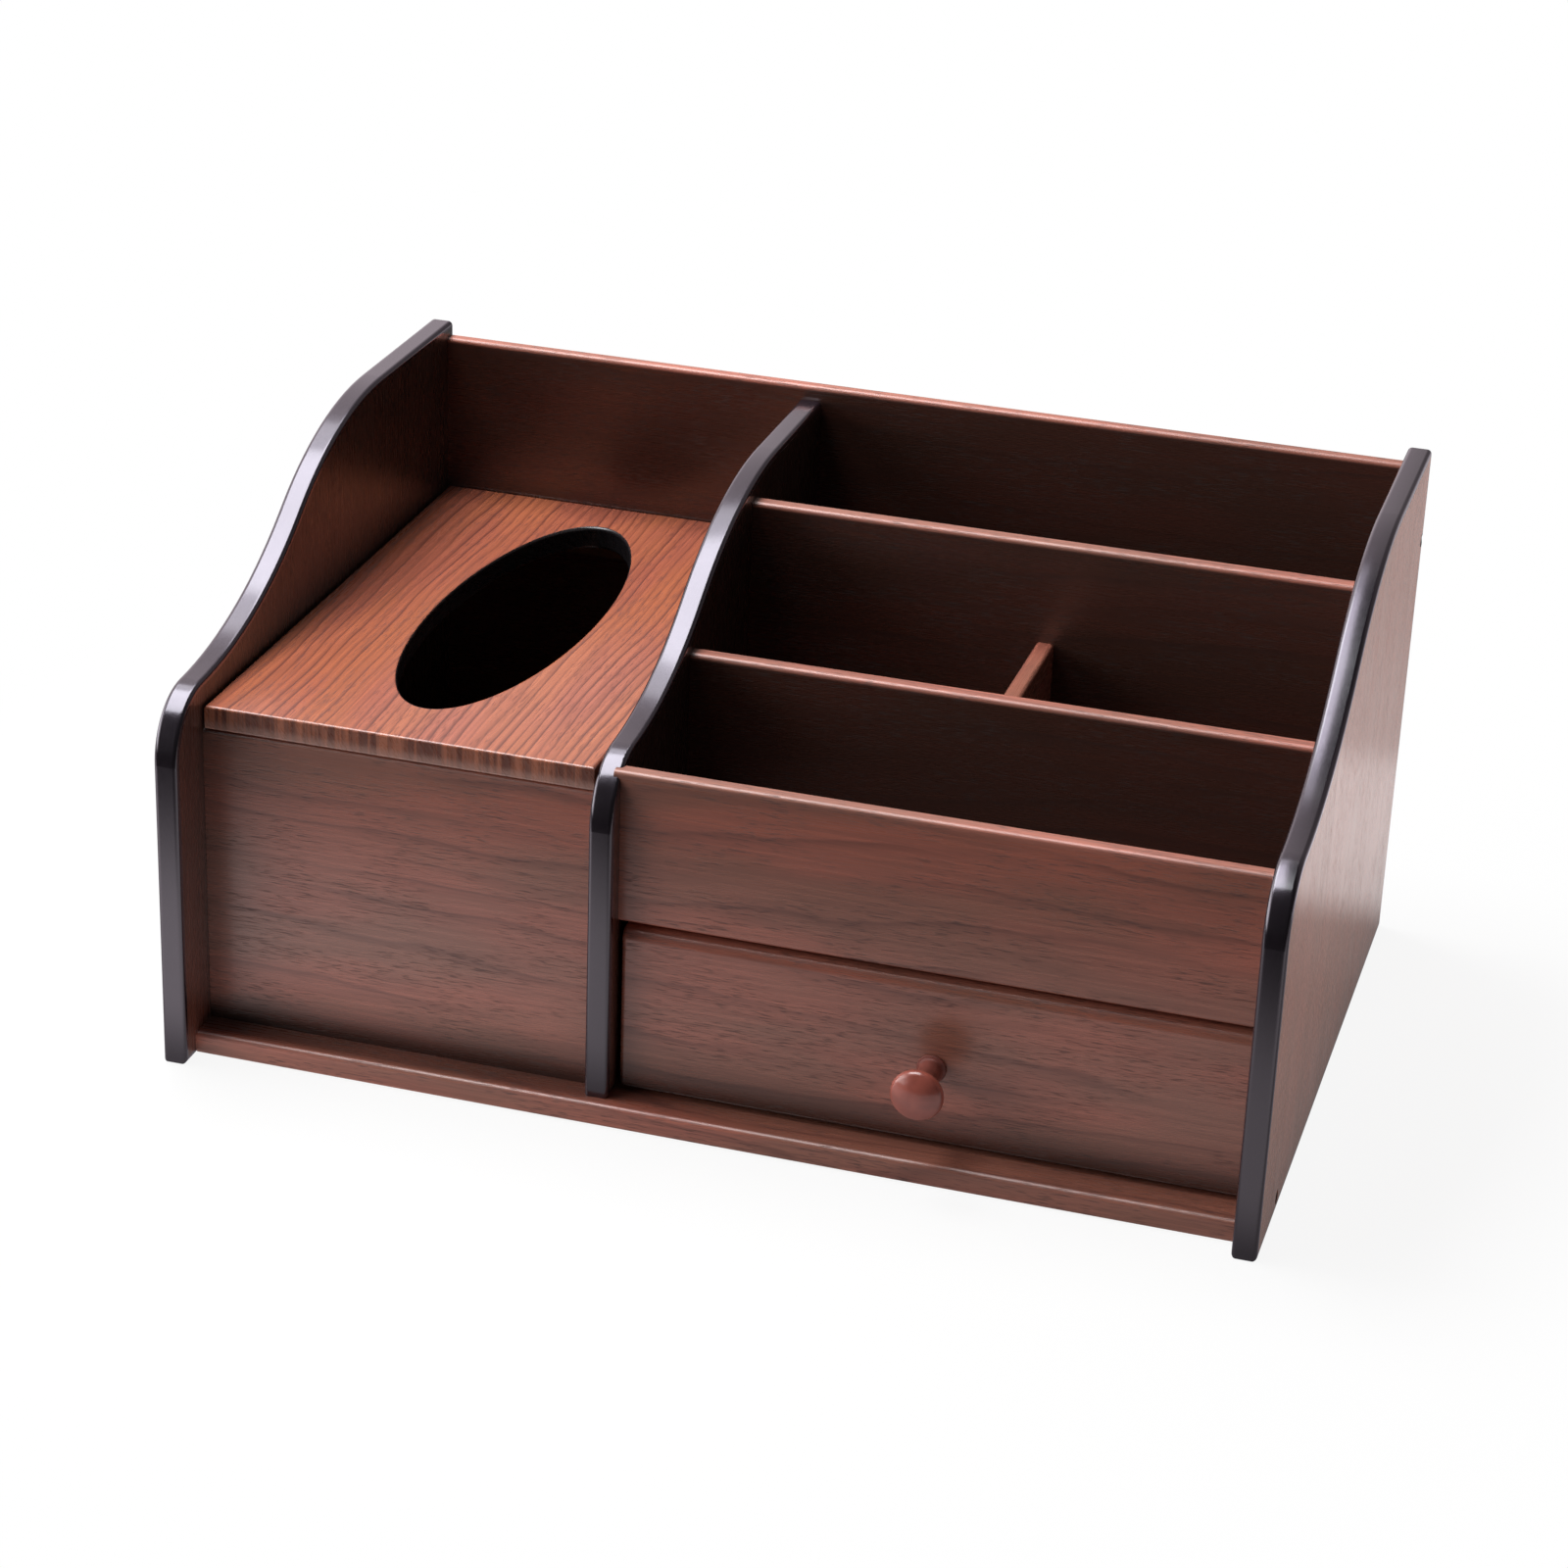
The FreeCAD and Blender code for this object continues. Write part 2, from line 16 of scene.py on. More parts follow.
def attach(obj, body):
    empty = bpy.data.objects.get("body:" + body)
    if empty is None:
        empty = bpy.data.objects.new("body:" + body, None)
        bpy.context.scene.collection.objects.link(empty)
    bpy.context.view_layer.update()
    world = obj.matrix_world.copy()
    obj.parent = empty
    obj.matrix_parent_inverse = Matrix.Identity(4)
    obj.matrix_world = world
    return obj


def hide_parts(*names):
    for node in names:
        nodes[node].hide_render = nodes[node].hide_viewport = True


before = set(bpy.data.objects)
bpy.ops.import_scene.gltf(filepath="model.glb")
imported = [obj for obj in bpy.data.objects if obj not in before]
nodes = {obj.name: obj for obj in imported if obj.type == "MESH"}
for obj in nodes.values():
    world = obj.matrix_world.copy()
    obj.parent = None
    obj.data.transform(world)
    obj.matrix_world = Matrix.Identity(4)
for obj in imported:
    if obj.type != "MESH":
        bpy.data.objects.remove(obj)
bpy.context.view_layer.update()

MM = 0.001

# %% [markdown]
# ## A small language for finishes
# A procedural finish is a formula that the renderer works out at each point of a surface. Blender
# draws such a formula as a net of nodes, which soon gets long. It could be wired by hand, one link
# at a time. Here a short class wraps the output of a node, so that ordinary arithmetic adds the
# nodes: the formulas below then read like any other Python.

# %% Numbers that vary over a surface
class Field:
    """A number that varies over the surface. Arithmetic on it adds Math nodes to the same tree."""

    def __init__(self, tree, socket):
        self.tree = tree
        self.socket = socket

    def math(self, operation, *others):
        """Math node whose inputs are this field and the others, which are fields or numbers."""
        node = self.tree.nodes.new("ShaderNodeMath")
        node.operation = operation
        for slot, value in zip(node.inputs, (self, *others)):
            feed(self.tree, slot, value)
        return Field(self.tree, node.outputs[0])

    def __add__(self, other):
        return self.math("ADD", other)

    def __sub__(self, other):
        return self.math("SUBTRACT", other)

    def __mul__(self, other):
        return self.math("MULTIPLY", other)

    def __truediv__(self, other):
        return self.math("DIVIDE", other)

    def ramp(self, start, end):
        """Smooth step: 0 before start, 1 after end (start may be the larger one)."""
        node = self.tree.nodes.new("ShaderNodeMapRange")
        node.interpolation_type = "SMOOTHSTEP"
        flipped = start > end
        low, high = sorted((start, end))
        feed(self.tree, node.inputs["Value"], self)
        node.inputs["From Min"].default_value = low
        node.inputs["From Max"].default_value = high
        node.inputs["To Min"].default_value = 1.0 if flipped else 0.0
        node.inputs["To Max"].default_value = 0.0 if flipped else 1.0
        return Field(self.tree, node.outputs[0])


def feed(tree, socket, value):
    """Lead a field into a socket, or set a plain number or colour on it."""
    if isinstance(value, Field):
        tree.links.new(value.socket, socket)
    elif isinstance(value, bpy.types.NodeSocket):
        tree.links.new(value, socket)
    else:
        socket.default_value = value


print("besides + - * / a field understands:",
      [name for name in vars(Field) if not name.startswith("_")])

# %% [markdown]
# ## Where a point is, and noise
# Every pattern reads the Object coordinates, because they stay on the board when the drawer slides
# or the lid lifts. They are turned into millimetres, so that a spacing of 9 means 9 mm of wood.
# Wood is noise that has been stretched: squeezing one axis turns soft blobs into long streaks.

# %% A finish and its helpers
class Finish:
    """A material being written, with helpers that add a node and return what it gives."""

    def __init__(self, name):
        self.material = bpy.data.materials.new(name)
        self.material.use_nodes = True
        self.tree = self.material.node_tree
        self.tree.nodes.clear()
        coordinates = self.tree.nodes.new("ShaderNodeTexCoord")
        split = self.tree.nodes.new("ShaderNodeSeparateXYZ")
        self.tree.links.new(coordinates.outputs["Object"], split.inputs[0])
        self.place = [Field(self.tree, out) / MM for out in split.outputs]

    def vector(self, parts):
        """Three fields or numbers as one vector."""
        node = self.tree.nodes.new("ShaderNodeCombineXYZ")
        for socket, part in zip(node.inputs, parts):
            feed(self.tree, socket, part)
        return node.outputs[0]

    def noise(self, parts, detail=2.0, roughness=0.5):
        """Smooth noise, about 0.3 to 0.7, one unit of the parts to a blob."""
        node = self.tree.nodes.new("ShaderNodeTexNoise")
        node.noise_dimensions = "3D"
        feed(self.tree, node.inputs["Vector"], self.vector(parts))
        node.inputs["Scale"].default_value = 1.0
        node.inputs["Detail"].default_value = detail
        node.inputs["Roughness"].default_value = roughness
        return Field(self.tree, node.outputs[0])

    def mix(self, share, first, second):
        """First colour where the share is 0, second where it is 1."""
        node = self.tree.nodes.new("ShaderNodeMix")
        node.data_type = "RGBA"
        feed(self.tree, node.inputs["Factor"], share)
        feed(self.tree, node.inputs["A"], first)
        feed(self.tree, node.inputs["B"], second)
        return node.outputs["Result"]

    def mix_number(self, share, first, second):
        """First number where the share is 0, second where it is 1."""
        node = self.tree.nodes.new("ShaderNodeMix")
        feed(self.tree, node.inputs["Factor"], share)
        feed(self.tree, node.inputs["A"], first)
        feed(self.tree, node.inputs["B"], second)
        return Field(self.tree, node.outputs["Result"])

    def bump(self, height, depth):
        """Surface normal tilted by a height field whose full swing is the given depth in mm."""
        node = self.tree.nodes.new("ShaderNodeBump")
        node.inputs["Strength"].default_value = 1.0
        node.inputs["Distance"].default_value = depth * MM
        feed(self.tree, node.inputs["Height"], height)
        return node.outputs[0]

    def surface(self, colour, roughness, normal, **others):
        """Close the tree with a Principled shader. Any other value goes on the socket it names."""
        shader = self.tree.nodes.new("ShaderNodeBsdfPrincipled")
        output = self.tree.nodes.new("ShaderNodeOutputMaterial")
        feed(self.tree, shader.inputs["Base Color"], colour)
        feed(self.tree, shader.inputs["Roughness"], roughness)
        feed(self.tree, shader.inputs["Normal"], normal)
        for socket, value in others.items():
            feed(self.tree, shader.inputs[socket.replace("_", " ")], value)
        self.tree.links.new(shader.outputs[0], output.inputs[0])
        return self.material


print("helpers of a finish:", [name for name in vars(Finish) if not name.startswith("_")])

# %% Tones and slots
def tone(code):
    """Linear colour from a hex code as a paint maker would write it."""
    parts = [int(code[i:i + 2], 16) / 255 for i in (0, 2, 4)]
    linear = [c / 12.92 if c <= 0.04045 else ((c + 0.055) / 1.055) ** 2.4 for c in parts]
    return (*linear, 1.0)


def dress(node, material):
    """Give a CAD node its finish."""
    nodes[node].material_slots[0].material = material


print("a paint tone in linear numbers:", [round(c, 3) for c in tone("8a5040")])

# %% [markdown]
# ## Walnut film
# The film is a print of sliced walnut. Three things make it look like wood: growth lines that run
# along the board and wander, broad reddish and greyish clouds, and short dark pores. A growth line
# is the end of a saw-tooth: the position across the grain, pushed about by slow noise, is divided
# by the spacing, and the fraction that is left climbs to 1 and drops back. A high power of it is a
# line with one soft and one crisp side, as a growth ring has. In real wood some rings are bold and
# others hardly show, so each line also has a strength of its own, from noise of its number. Lines
# and pores are pressed a little into the film, so they dull its shine as well as its colour.

# %% The figure of the wood
# Size of each kind of noise in mm, along and across the grain, and how much of it there is in depth
WAVER, CLOUD, FIBRE = (45, 12), (90, 22), (40, 0.9)
PORE, PORE_PATCH = (5.0, 0.42), (34, 12)
DRIFT_ACROSS = 48
LINE_FADE, LINE_STEP = 130, 3.7      # how slowly a line's strength changes, and from line to line
BROAD_DEPTH, FINE_DEPTH = 30, 2


def figure(finish, along, across, through, seed, spacing, wander, stretch,
           thin=7.0, ripple=6.0, even=0.0):
    """Growth lines, clouds, fibres and pores, each from 0 to 1.

    along, across and through are the position in mm; spacing is the distance between growth lines,
    wander how far they stray across the grain, stretch how slowly they do so along it, ripple how
    far they waver on the way, and thin how thin they are. Each line has a strength of its own, or
    the same one as all the others where even is 1.
    """
    def streaks(size, offset, detail, roughness, depth=BROAD_DEPTH):
        """Noise with blobs of the given size; the offset keeps it apart from the other noises."""
        place = (along / size[0], across / size[1], through / depth + (seed + offset))
        return finish.noise(place, detail, roughness)

    drift = streaks((stretch, DRIFT_ACROSS), 0, 1.5, 0.45)
    waver = streaks(WAVER, 7, 2.0, 0.5)
    ring = (across + (drift - 0.5) * wander + (waver - 0.5) * ripple) / spacing
    phase = ring.math("FRACT")
    number = ring - phase
    strength = finish.noise((along / LINE_FADE, number * LINE_STEP, seed + 11.0), 1.0, 0.5)
    strength = strength.ramp(0.38, 0.58) * (1 - even) + even
    lines = phase.math("POWER", thin) * phase.ramp(1.0, 0.90) * strength
    clouds = streaks(CLOUD, 17, 2.0, 0.5).ramp(0.36, 0.64)
    fibres = streaks(FIBRE, 23, 3.0, 0.6, FINE_DEPTH).ramp(0.32, 0.68)
    dash = streaks(PORE, 31, 1.0, 0.4, FINE_DEPTH).ramp(0.54, 0.70)
    patch = streaks(PORE_PATCH, 37, 1.0, 0.5).ramp(0.32, 0.56)
    return lines, clouds, fibres, dash * patch


print("a fibre is about", FIBRE[0], "mm long and", FIBRE[1], "mm wide")

# %% Printed film
FIBRE_SHARE, PORE_SHARE = 0.30, 0.55      # how far they take the colour to their own tone
FIBRE_DULLS = 0.06                        # what fibres add to the roughness
FIBRE_HEIGHT, LINE_DEPTH = 0.1, 0.3       # shares of the relief
FILM_IOR = 1.8                            # of the clear coat over the print
FILM_RELIEF = 0.03                        # depth of the press marks, mm


def printed(finish, parts, tones, line_share, smooth, line_dulls, pore_dulls, pore_depth):
    """Colour, roughness and relief of printed film.

    The clouds blend a red and a grey tone, then lines, fibres and pores go over them in turn.
    smooth is the roughness between them, and line_dulls and pore_dulls are what they add to it.
    """
    lines, clouds, fibres, pores = parts
    red, grey, line, pore = tones
    colour = finish.mix(clouds, red, grey)
    colour = finish.mix(lines * line_share, colour, line)
    colour = finish.mix(fibres * FIBRE_SHARE, colour, line)
    colour = finish.mix(pores * PORE_SHARE, colour, pore)
    roughness = fibres * FIBRE_DULLS + pores * pore_dulls + lines * line_dulls + smooth
    relief = fibres * FIBRE_HEIGHT - pores * pore_depth - lines * LINE_DEPTH
    return colour, roughness, relief


DARK_TONES = [tone(c) for c in ("c67662", "ad705d", "5a2c26", "341815")]
ACROSS_AND_THROUGH = {"X": "ZY", "Y": "XZ", "Z": "YX"}     # for each direction of the grain
TURN_OVER = 0.8       # how far the figure shifts across the grain for each mm through the board


def walnut(finish, grain, seed):
    """Colour, roughness and relief of the dark film with its grain along X, Y or Z."""
    along = finish.place["XYZ".index(grain)]
    across, through = [finish.place["XYZ".index(axis)] for axis in ACROSS_AND_THROUGH[grain]]
    if grain == "X":
        across = across + through * TURN_OVER
    parts = figure(finish, along, across, through, seed, spacing=10.5, wander=46.0, stretch=190.0)
    return printed(finish, parts, DARK_TONES, line_share=0.84, smooth=0.25,
                   line_dulls=0.08, pore_dulls=0.20, pore_depth=0.6)


print("tones of the dark film:", len(DARK_TONES))

# %% [markdown]
# ## From film to boards
# Every board gets the same film, but a seed of its own, so that no two show the same figure. The
# tone also differs from face to face of one board: the faces inside the box and behind it are
# deeper, and so are the foot of a front, the left part of the base's ledge and the end of the
# tissue front beside the side panel. That deeper tone is painted shade. The faces could be split
# up and given slots of their own; here the finish reads where it is, so the construction model's
# meshes stay as they are. The rims are duller, because the film is stretched where it wraps over
# them.

# %% Where the tone changes
# SHADE_TONE is painted shade for inner faces, feet, ledge and corners; SHEEN_TONE a painted sheen
SHADE_TONE, SHEEN_TONE = tone("2a1a15"), tone("eea286")
INSIDE_FACE = (172.6, 172.4)       # |x| where the inner faces of the sides begin, mm
BEHIND_FRONTS = (-94.4, -94.2)     # y where the inside begins behind the fronts
AHEAD_OF_BACK = (114.7, 114.5)     # y where it ends at the back panel
REAR_FACE = (119.0, 119.4)         # y of the outer face of the back panel
NOSE = (-110.0, -111.0)            # y of the base's rounded front edge
LEDGE = (-111.0, -107.0)           # y of the base's ledge before the tissue front
LEDGE_FADE = 5.0                   # x over which its painted shade ends, to either side, mm
NOOK = (-154.0, -172.0)            # x of the tissue front's end beside the side panel, where its shadow is painted
RIM_TONE, RIM_DULL = (1.2, 2.0), (2.5, 1.5)      # mm below a rim where painted shade and shine change
INNER_RIM_ADDS, OUTER_RIM_ADDS, NOSE_ADDS = 0.14, 0.05, 0.08      # to the roughness
FOOT = (16.0, 0.5)                 # mm above the base where painted shade on a front begins
REAR_SHARE, LEDGE_SHARE, FOOT_SHARE, NOOK_SHARE = 0.5, 0.6, 0.92, 0.42     # shares of the painted shade tone
print("a front grows deeper in tone", FOOT[0], "mm above the base")

# %% Dark film on a board
def inner_faces(place):
    """1 on film that faces the inside of the box, 0 outside."""
    x, y = place[:2]
    return x.math("ABSOLUTE").ramp(*INSIDE_FACE) * y.ramp(*BEHIND_FRONTS) * y.ramp(*AHEAD_OF_BACK)


def dark_film(name, grain, seed, inside=0.0, rim=None, foot=None, ledge=None):
    """Dark walnut film of one board; inside is how far its inner faces go to the deeper tone.

    rim is the height of its top edge, foot the height it stands at, and ledge the x where the
    painted shade on the base's ledge ends. The deeper tone is painted shade: on the inner faces,
    the outer face of the back panel, the foot of a front where it stands on the base, and the
    tissue front's end beside the side panel. The film is duller where it wraps over the rim.
    """
    finish = Finish(name)
    x, y, z = finish.place
    colour, roughness, relief = walnut(finish, grain, seed)
    # Painted shade on the faces inside the box, setting in below the rim
    if inside:
        deep = inner_faces(finish.place) * inside
        if rim:
            deep = deep * z.ramp(rim - RIM_TONE[0], rim - RIM_TONE[1])
        colour = finish.mix(deep, colour, SHADE_TONE)
    # Painted shade on the outer face of the back panel
    colour = finish.mix(y.ramp(*REAR_FACE) * REAR_SHARE, colour, SHADE_TONE)
    if rim:
        wrapped = z.ramp(rim - RIM_DULL[0], rim - RIM_DULL[1])
        roughness = roughness + wrapped * (INNER_RIM_ADDS if inside else OUTER_RIM_ADDS)
    roughness = roughness + y.ramp(*NOSE) * NOSE_ADDS
    # Painted shade on the left part of the base's ledge
    if ledge:
        on_ledge = y.ramp(*LEDGE) * x.ramp(ledge + LEDGE_FADE, ledge - LEDGE_FADE)
        colour = finish.mix(on_ledge * LEDGE_SHARE, colour, SHADE_TONE)
    # Painted shade at the foot of a front and beside the side panel
    if foot:
        low = z.ramp(foot + FOOT[0], foot + FOOT[1]) * FOOT_SHARE
        colour = finish.mix(low.math("MAXIMUM", x.ramp(*NOOK) * NOOK_SHARE), colour, SHADE_TONE)
    return finish.surface(colour, roughness, finish.bump(relief, FILM_RELIEF), IOR=FILM_IOR)


print("the dark film grows duller within", RIM_DULL[0], "mm of a rim")

# %% Dress the boards
boards = ["base_board", "back_panel", "tissue_front_panel", "fascia_panel", "front_partition",
          "rear_partition", "compartment_shelf", "drawer_front", "drawer_back"]
rims = {"back_panel": 175.0, "tissue_front_panel": 111.0, "fascia_panel": 119.5,
        "front_partition": 132.0, "rear_partition": 161.0, "compartment_shelf": None,
        "drawer_front": 66.0}
# Heights where fronts stand, and where the ledge's painted shade ends
feet = {"tissue_front_panel": 8.0, "drawer_front": 9.0}
ledges = {"base_board": -36.0}
for count, node in enumerate(boards):
    # 0.86 is the share of painted shade on the inner faces
    inside = 0.86 if node in rims and node != "drawer_front" else 0.0
    dress(node, dark_film(f"walnut_{node}", "X", 3.7 + 5.3 * count, inside, rims.get(node),
                          feet.get(node), ledges.get(node)))
for count, node in enumerate(["short_divider", "drawer_left_side", "drawer_right_side"]):
    dress(node, dark_film(f"walnut_{node}", "Y", 61.0 + 4.9 * count))
print("boards in dark walnut film:", len(boards) + 3)

# %% [markdown]
# ## The S-curved panels
# The two sides and the divider have film on their faces and black paint on their rounded edges. The
# brush also runs a hair's breadth over onto the faces. The paint could be a second skin lying on
# the edge, but a finish can do it without any new geometry: it needs to know how deep each point
# lies below the outline. The outline is made of arcs and straight runs, so that depth is the
# distance from an arc's centre, or from a line, chosen by how far back the point is. An edge that
# was sanded by hand is a little fuller in the middle: a parabola in the relief of the paint stands
# for that, and spreads the streak of light down the curve. The film is deeper in tone on the inner
# faces of the panels and on the outer face of the left one, which is painted shade, and paler on
# the outer face of the right one, which is a painted sheen.

# %% The outline as a formula
SHOULDER_R = 22.0              # radius of the arc at the front top corner, mm
LEAD = math.radians(3.0)       # slope of the outline where the shoulder meets the hollow
SIDE_CURVE = dict(front=-120.0, back=120.0, bottom=0.0, top=180.0, hollow_r=148.0,
                  steep=math.radians(35.7), run=4.0, crown_r=120.0)
DIVIDER_CURVE = dict(front=-107.4, back=114.5, bottom=8.0, top=170.2, hollow_r=134.0,
                     steep=math.radians(32.5), run=7.5, crown_r=142.0)


def depth_below_outline(finish, front, back, bottom, top, hollow_r, steep, run, crown_r):
    """Depth in mm of a point below the panel's outline, in the plane of the panel.

    From front to back: a shoulder arc, a hollow arc whose centre is above the panel, a straight
    run, a crown arc and the flat top. Inside a convex arc the depth is the radius less the
    distance to its centre; under the hollow it is the distance less the radius.
    """
    y, z = finish.place[1], finish.place[2]
    crown_z = top - crown_r * (1 - math.cos(steep))
    run_z = crown_z - run * math.sin(steep)
    hollow_z = run_z - hollow_r * (math.cos(LEAD) - math.cos(steep))
    hollow_y = front + SHOULDER_R * (1 - math.sin(LEAD))
    shoulder = (front + SHOULDER_R, hollow_z - SHOULDER_R * math.cos(LEAD))
    hollow = (hollow_y - hollow_r * math.sin(LEAD), hollow_z + hollow_r * math.cos(LEAD))
    run_y = hollow[0] + hollow_r * math.sin(steep)
    crown_y = run_y + run * math.cos(steep)
    crown = (crown_y + crown_r * math.sin(steep), top - crown_r)

    def distance(centre, across=None, up=None):
        dy = y - centre[0] if across is None else across
        dz = z - centre[1] if up is None else up
        return (dy * dy + dz * dz).math("SQRT")

    ahead = (y - shoulder[0]).math("MINIMUM", 0.0)
    above = (z - shoulder[1]).math("MAXIMUM", 0.0)
    depth = distance(shoulder, ahead, above) * -1.0 + SHOULDER_R
    regions = [
        (hollow_y, distance(hollow) - hollow_r),
        (run_y, (y - run_y) * math.sin(steep) - (z - run_z) * math.cos(steep)),
        (crown_y, distance(crown) * -1.0 + crown_r),
        (crown[0], z * -1.0 + top),
    ]
    for start, here in regions:
        depth = finish.mix_number(y.math("GREATER_THAN", start), depth, here)
    for edge in (y * -1.0 + back, z - bottom):
        depth = depth.math("MINIMUM", edge)
    return depth


print("height of the sides in mm:", SIDE_CURVE["top"] - SIDE_CURVE["bottom"])

# %% Film and paint on the panels
PAINT_REACH = 2.1     # rounded edge and the sliver of face that the brush covers, mm
BLACK_PAINT = tone("211d20")
PAINT_COAT = 1.5      # index of the gloss on the paint
COAT_TINT = (0.96, 0.85, 1.0, 1.0)       # the gloss lets a little less green through
BRUSH_WAVER, PEEL = 9, 2.5         # size of the brush's wavering and of the orange peel, mm
OUTER_FACE = (179.4, 179.6)        # |x| of the outer faces of the sides, mm
BAY_FRONT = (-103.0, -97.0)        # y where the inner faces pass behind the fronts
STRIP_SHARE, BEHIND_ADDS = 0.68, 0.30      # shares of painted shade on the inner faces: on the strip ahead, and more behind
HALF_EDGE = 2.5       # from the middle of a painted edge to where its arris starts to turn, mm


def painted_panel(name, curve, seed, middle, crown=0.0, outside=(0.0, SHEEN_TONE)):
    """Walnut film with upright grain, and black paint along the outline.

    middle is the x of the panel's middle plane. crown, in mm, is how much fuller the sanded edge
    is in the middle than near its arrises: a parabola across the thickness. The inner faces get
    painted shade. outside is how far the outer face goes to another tone, and that tone: painted
    shade on the left panel, a painted sheen on the right one.
    """
    finish = Finish(name)
    x, y = finish.place[:2]
    colour, roughness, relief = walnut(finish, "Z", seed)
    depth = depth_below_outline(finish, **curve)
    waver = finish.noise([p / BRUSH_WAVER for p in finish.place], 1.0)
    paint = (depth + (waver - 0.5) * 0.5).ramp(PAINT_REACH + 0.12, PAINT_REACH - 0.12)
    peel = finish.noise([p / PEEL for p in finish.place], 2.0)
    # Painted shade on the inner faces
    inner = x.math("ABSOLUTE").ramp(*INSIDE_FACE)
    deep = inner * (y.ramp(*BAY_FRONT) * BEHIND_ADDS + STRIP_SHARE)
    colour = finish.mix(deep, colour, SHADE_TONE)
    # The outer face goes to the tone in outside: painted shade on the left, a painted sheen on the
    # right
    outer = x.math("ABSOLUTE").ramp(*OUTER_FACE)
    colour = finish.mix(outer * outside[0], colour, outside[1])
    colour = finish.mix(paint, colour, BLACK_PAINT)
    roughness = finish.mix_number(paint, roughness - outer * 0.07, peel * 0.10 + 0.16)
    off_middle = (x - middle) / HALF_EDGE
    fullness = off_middle * off_middle * (crown / FILM_RELIEF)
    relief = finish.mix_number(paint, relief, peel * 0.25 - fullness)
    return finish.surface(colour, roughness, finish.bump(relief, FILM_RELIEF), IOR=FILM_IOR,
                          Coat_Weight=paint, Coat_IOR=PAINT_COAT, Coat_Roughness=0.14,
                          Coat_Tint=COAT_TINT)


# Painted shade on the left panel's outer face, a painted sheen on the right one's
left_paint = painted_panel("panel_left", SIDE_CURVE, 81.0, -176.0, 0.0, (0.5, SHADE_TONE))
right_paint = painted_panel("panel_right", SIDE_CURVE, 92.0, 176.0, 0.12, (0.55, SHEEN_TONE))
dress("left_side_panel", left_paint)
dress("right_side_panel", right_paint)
dress("middle_divider", painted_panel("panel_middle", DIVIDER_CURVE, 103.0, -36.0, 0.05))
print("paint reaches", PAINT_REACH, "mm in from the outline")

# %% [markdown]
# ## The lid
# The lid has a lighter, orange-brown film with straighter and closer lines that run front to back,
# more even in strength than those on the case. The film wraps over the front edge, where its lines
# turn into dark upright stripes; their lower half is drawn paler, a painted reflection of the
# table. The wall of the oval hole is black.

# %% Lid film
LID_TONES = [tone(c) for c in ("ca7552", "c16d55", "58211a", "58211a")]
STRIPE_TONES = tone("c87a5c"), tone("7c4434")
# REFLECTION_TONE is a painted reflection of the table on the lower front edge
REFLECTION_TONE = tone("d8aa9c")
STRIPE = (2.6, 40, 60)               # size of a stripe on the front edge along x, y and z, mm
HOLE = (-106.0, 9.0, 27.5, 84.5)     # centre and half-axes of the oval hole, mm
FRONT_EDGE = (-99.2, -99.8)          # y where the film turns down over the front edge
LOWER_EDGE = (115.5, 112.5)          # z over which the painted reflection makes the stripes paler


def lid_film(name, seed):
    """Lighter film, grain along Y, with stronger stripes on the front edge.

    The oval is 1 on the rim of the hole: the square of x from its centre over its half-width, plus
    the same of y over its half-depth. The wall is where it is hardly more than 1.
    """
    finish = Finish(name)
    x, y, z = finish.place
    lines, *others = figure(finish, y, x + z * 0.5, z, seed, spacing=3.6, wander=20.0,
                            stretch=150.0, thin=4.5, ripple=2.4, even=0.45)
    parts = (lines * 1.6).math("MINIMUM", 0.85), *others
    colour, roughness, relief = printed(finish, parts, LID_TONES, line_share=0.92, smooth=0.24,
                                        line_dulls=0.12, pore_dulls=0.15, pore_depth=0.5)
    stripes = finish.noise((x / STRIPE[0], y / STRIPE[1], z / STRIPE[2] + seed), 3.0, 0.62)
    striped = finish.mix(stripes.ramp(0.40, 0.62), *STRIPE_TONES)
    # Painted reflection of the table: the lower half of the front edge is paler
    striped = finish.mix(z.ramp(*LOWER_EDGE) * 0.55, striped, REFLECTION_TONE)
    colour = finish.mix(y.ramp(*FRONT_EDGE), colour, striped)
    centre_x, centre_y, half_x, half_y = HOLE
    over_x, over_y = (x - centre_x) / half_x, (y - centre_y) / half_y
    oval = over_x.math("POWER", 2.0) + over_y.math("POWER", 2.0)
    colour = finish.mix(oval.ramp(1.030, 1.022), colour, BLACK_PAINT)
    return finish.surface(colour, roughness, finish.bump(relief, FILM_RELIEF), IOR=FILM_IOR)


dress("tissue_lid", lid_film("lid_film", 7.0))
print("lid hole in mm:", 2 * HOLE[2], "wide and", 2 * HOLE[3], "deep")

# %% [markdown]
# ## What hardly shows
# Under the lid are two battens of plain softwood, and the drawer has a floor of brown fibreboard.
# They are seen when the lid is off or the drawer is out, so they get a finish of their own.

# %% Battens, drawer floor and fixings
def softwood(name, seed):
    """Plain planed softwood with its grain along X."""
    finish = Finish(name)
    x, y, z = finish.place
    lines, clouds, fibres, _ = figure(finish, x, z + y * TURN_OVER, y, seed, spacing=3.4,
                                      wander=10.0, stretch=150.0)
    colour = finish.mix(clouds, tone("7d5a3e"), tone("6c4c34"))
    colour = finish.mix(lines * 0.7, colour, tone("4a3020"))
    return finish.surface(colour, fibres * 0.08 + 0.60, finish.bump(fibres, 0.04))


